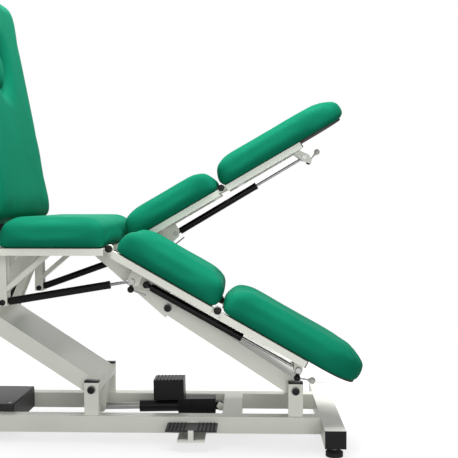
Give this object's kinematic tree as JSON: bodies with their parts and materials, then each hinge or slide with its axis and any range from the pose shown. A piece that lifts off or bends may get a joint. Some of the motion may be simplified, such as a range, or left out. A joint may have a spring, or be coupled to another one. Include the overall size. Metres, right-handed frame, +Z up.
{
  "type": "electric treatment table",
  "caption": "Treatment table with a parallel-arm motor lift, a raising backrest and a split leg end whose halves tilt apart on gas springs.",
  "frame": {"origin": "middle of the bottom of the whole table in its rest pose, on the floor", "axes": "+X towards the foot end, +Y across to the far side, +Z up"},
  "size_m": [1.3786, 0.656, 1.423],
  "materials": {
    "vinyl": "smooth",
    "painted_steel": "satin",
    "spring_black": "gloss",
    "bright_steel": "bright",
    "black_plastic": "matte",
    "board": "plain",
    "rubber": "matte"
  },
  "bodies": {
    "base": {"base_rails": "painted_steel", "base_crossbars": "painted_steel", "base_caps": "black_plastic", "pivot_posts": "painted_steel", "lower_axles": "bright_steel", "feet": "rubber", "actuator_mount": "painted_steel", "control_box": "black_plastic", "mains_inlet": "black_plastic", "pedal_bracket": "painted_steel"},
    "pedal": {"foot_pedal": "black_plastic"},
    "rear_arm": {"rear_lift_arm": "painted_steel"},
    "front_arm": {"front_lift_arm": "painted_steel"},
    "actuator": {"actuator_housing": "black_plastic", "actuator_motor": "black_plastic"},
    "ram": {"actuator_rod": "bright_steel"},
    "carriage": {"seat_frame": "painted_steel", "carriage_pins": "bright_steel", "strut_plates": "painted_steel", "upper_axles": "bright_steel", "spring_posts": "painted_steel", "seat_board": "board", "seat_cushion": "vinyl"},
    "backrest": {"backrest_frame": "painted_steel", "backrest_bolts": "bright_steel", "backrest_board": "board", "backrest_cushion": "vinyl"},
    "face_plug": {"face_plug": "vinyl"},
    "backrest_lever": {"backrest_lever": "bright_steel"},
    "backrest_tube": {"backrest_ram_tube": "spring_black"},
    "backrest_rod": {"backrest_ram_rod": "bright_steel"},
    "near_thigh": {"near_thigh_frame": "painted_steel", "near_thigh_pins": "bright_steel", "near_thigh_board": "board", "near_thigh_cushion": "vinyl"},
    "near_calf": {"near_calf_frame": "painted_steel", "near_calf_bolt": "bright_steel", "near_calf_board": "board", "near_calf_cushion": "vinyl"},
    "near_thigh_lever": {"near_thigh_lever": "bright_steel"},
    "near_calf_lever": {"near_calf_lever": "bright_steel"},
    "near_thigh_tube": {"near_thigh_spring_tube": "spring_black"},
    "near_thigh_rod": {"near_thigh_spring_rod": "bright_steel"},
    "near_calf_tube": {"near_calf_spring_tube": "spring_black"},
    "near_calf_rod": {"near_calf_spring_rod": "bright_steel"},
    "far_thigh": {"far_thigh_frame": "painted_steel", "far_thigh_pins": "bright_steel", "far_thigh_board": "board", "far_thigh_cushion": "vinyl"},
    "far_calf": {"far_calf_frame": "painted_steel", "far_calf_bolt": "bright_steel", "far_calf_board": "board", "far_calf_cushion": "vinyl"},
    "far_thigh_lever": {"far_thigh_lever": "bright_steel"},
    "far_calf_lever": {"far_calf_lever": "bright_steel"},
    "far_thigh_tube": {"far_thigh_spring_tube": "spring_black"},
    "far_thigh_rod": {"far_thigh_spring_rod": "bright_steel"},
    "far_calf_tube": {"far_calf_spring_tube": "spring_black"},
    "far_calf_rod": {"far_calf_spring_rod": "bright_steel"}
  },
  "joints": [
    {"name": "lift", "type": "hinge", "parent": "base", "child": "rear_arm", "pos_m": [-0.1454, 0, 0.157], "axis": [0, 1, 0], "range_deg": [-7, 32]},
    {"name": "carriage_level", "type": "hinge", "parent": "rear_arm", "child": "carriage", "pos_m": [-0.53035, 0, 0.40699], "axis": [0, 1, 0], "range_deg": [-32, 7]},
    {"name": "front_lift", "type": "hinge", "parent": "base", "child": "front_arm", "pos_m": [0.4726, 0, 0.157], "axis": [0, 1, 0], "range_deg": [-7, 32]},
    {"name": "actuator_swing", "type": "hinge", "parent": "base", "child": "actuator", "pos_m": [0.23631, 0, 0.075], "axis": [0, 1, 0], "range_deg": [-0.29, 1.29]},
    {"name": "ram_swing", "type": "hinge", "parent": "rear_arm", "child": "ram", "pos_m": [-0.14069, 0, 0.06712], "axis": [0, 1, 0], "range_deg": [-30.73, 6.73]},
    {"name": "pedal_rock", "type": "hinge", "parent": "base", "child": "pedal", "pos_m": [0.16365, -0.206, 0.056], "axis": [0, 1, 0], "range_deg": [-6, 6], "stiffness_Nm_per_rad": 3},
    {"name": "backrest", "type": "hinge", "parent": "carriage", "child": "backrest", "pos_m": [-0.40135, 0, 0.64999], "axis": [0, 1, 0], "range_deg": [-79, 4]},
    {"name": "backrest_tube_swing", "type": "hinge", "parent": "carriage", "child": "backrest_tube", "pos_m": [-0.47935, 0.18, 0.36999], "axis": [0, 1, 0], "range_deg": [-50.49, 2.57]},
    {"name": "backrest_rod_swing", "type": "hinge", "parent": "backrest", "child": "backrest_rod", "pos_m": [-0.56602, 0.18, 1.02547], "axis": [0, 1, 0], "range_deg": [-1.45, 28.53]},
    {"name": "backrest_release", "type": "hinge", "parent": "backrest", "child": "backrest_lever", "pos_m": [-0.56602, -0.23, 1.02547], "axis": [0, 1, 0], "range_deg": [-10, 10], "stiffness_Nm_per_rad": 1},
    {"name": "face_plug_lift", "type": "slide", "parent": "backrest", "child": "face_plug", "axis": [0.9816, 0, 0.1908], "range_m": [0, 0.09]},
    {"name": "near_thigh", "type": "hinge", "parent": "carriage", "child": "near_thigh", "pos_m": [-0.06335, -0.195, 0.59399], "axis": [0, 1, 0], "range_deg": [-60, 1.2]},
    {"name": "near_thigh_tube_swing", "type": "hinge", "parent": "carriage", "child": "near_thigh_tube", "pos_m": [-0.39385, -0.195, 0.42929], "axis": [0, 1, 0], "range_deg": [-9.79, 0.21]},
    {"name": "near_thigh_rod_swing", "type": "hinge", "parent": "near_thigh", "child": "near_thigh_rod", "pos_m": [-0.01018, -0.195, 0.49302], "axis": [0, 1, 0], "range_deg": [-1.01, 50.23]},
    {"name": "near_thigh_release", "type": "hinge", "parent": "near_thigh", "child": "near_thigh_lever", "pos_m": [-0.01018, -0.208, 0.49302], "axis": [0, 1, 0], "range_deg": [-10, 10], "stiffness_Nm_per_rad": 1},
    {"name": "near_calf", "type": "hinge", "parent": "near_thigh", "child": "near_calf", "pos_m": [0.24388, -0.195, 0.42016], "axis": [0, 1, 0], "range_deg": [0, 10]},
    {"name": "near_calf_tube_swing", "type": "hinge", "parent": "near_thigh", "child": "near_calf_tube", "pos_m": [0.02956, -0.195, 0.48202], "axis": [0, 1, 0], "range_deg": [-0.01, 5.76]},
    {"name": "near_calf_rod_swing", "type": "hinge", "parent": "near_calf", "child": "near_calf_rod", "pos_m": [0.47585, -0.195, 0.23515], "axis": [0, 1, 0], "range_deg": [-4.26, 0.01]},
    {"name": "near_calf_release", "type": "hinge", "parent": "near_calf", "child": "near_calf_lever", "pos_m": [0.47585, -0.208, 0.23515], "axis": [0, 1, 0], "range_deg": [-10, 10], "stiffness_Nm_per_rad": 1},
    {"name": "far_thigh", "type": "hinge", "parent": "carriage", "child": "far_thigh", "pos_m": [-0.06335, 0.195, 0.59399], "axis": [0, 1, 0], "range_deg": [-0.3, 60.9]},
    {"name": "far_thigh_tube_swing", "type": "hinge", "parent": "carriage", "child": "far_thigh_tube", "pos_m": [-0.39385, 0.195, 0.42929], "axis": [0, 1, 0], "range_deg": [-0.06, 11.15]},
    {"name": "far_thigh_rod_swing", "type": "hinge", "parent": "far_thigh", "child": "far_thigh_rod", "pos_m": [0.05065, 0.195, 0.58895], "axis": [0, 1, 0], "range_deg": [-49.77, 0.26]},
    {"name": "far_thigh_release", "type": "hinge", "parent": "far_thigh", "child": "far_thigh_lever", "pos_m": [0.05065, 0.208, 0.58895], "axis": [0, 1, 0], "range_deg": [-10, 10], "stiffness_Nm_per_rad": 1},
    {"name": "far_calf", "type": "hinge", "parent": "far_thigh", "child": "far_calf", "pos_m": [0.24174, 0.195, 0.77156], "axis": [0, 1, 0], "range_deg": [0, 40]},
    {"name": "far_calf_tube_swing", "type": "hinge", "parent": "far_thigh", "child": "far_calf_tube", "pos_m": [0.0802, 0.195, 0.61772], "axis": [0, 1, 0], "range_deg": [-0.01, 23.25]},
    {"name": "far_calf_rod_swing", "type": "hinge", "parent": "far_calf", "child": "far_calf_rod", "pos_m": [0.51851, 0.195, 0.87849], "axis": [0, 1, 0], "range_deg": [-16.77, 0.01]},
    {"name": "far_calf_release", "type": "hinge", "parent": "far_calf", "child": "far_calf_lever", "pos_m": [0.51851, 0.208, 0.87849], "axis": [0, 1, 0], "range_deg": [-10, 10], "stiffness_Nm_per_rad": 1}
  ],
  "couplings": [
    {"joint": "carriage_level", "follows": "lift", "ratio": -1},
    {"joint": "front_lift", "follows": "lift", "ratio": 1},
    {"joint": "actuator_swing", "follows": "lift", "ratio": 0.04},
    {"joint": "ram_swing", "follows": "lift", "ratio": -0.96},
    {"joint": "backrest_tube_swing", "follows": "backrest", "ratio": 0.639},
    {"joint": "backrest_rod_swing", "follows": "backrest", "ratio": -0.361},
    {"joint": "near_thigh_tube_swing", "follows": "near_thigh", "ratio": 0.163},
    {"joint": "near_thigh_rod_swing", "follows": "near_thigh", "ratio": -0.837},
    {"joint": "near_calf_tube_swing", "follows": "near_calf", "ratio": 0.575},
    {"joint": "near_calf_rod_swing", "follows": "near_calf", "ratio": -0.425},
    {"joint": "far_thigh_tube_swing", "follows": "far_thigh", "ratio": 0.183},
    {"joint": "far_thigh_rod_swing", "follows": "far_thigh", "ratio": -0.817},
    {"joint": "far_calf_tube_swing", "follows": "far_calf", "ratio": 0.581},
    {"joint": "far_calf_rod_swing", "follows": "far_calf", "ratio": -0.419}
  ]
}
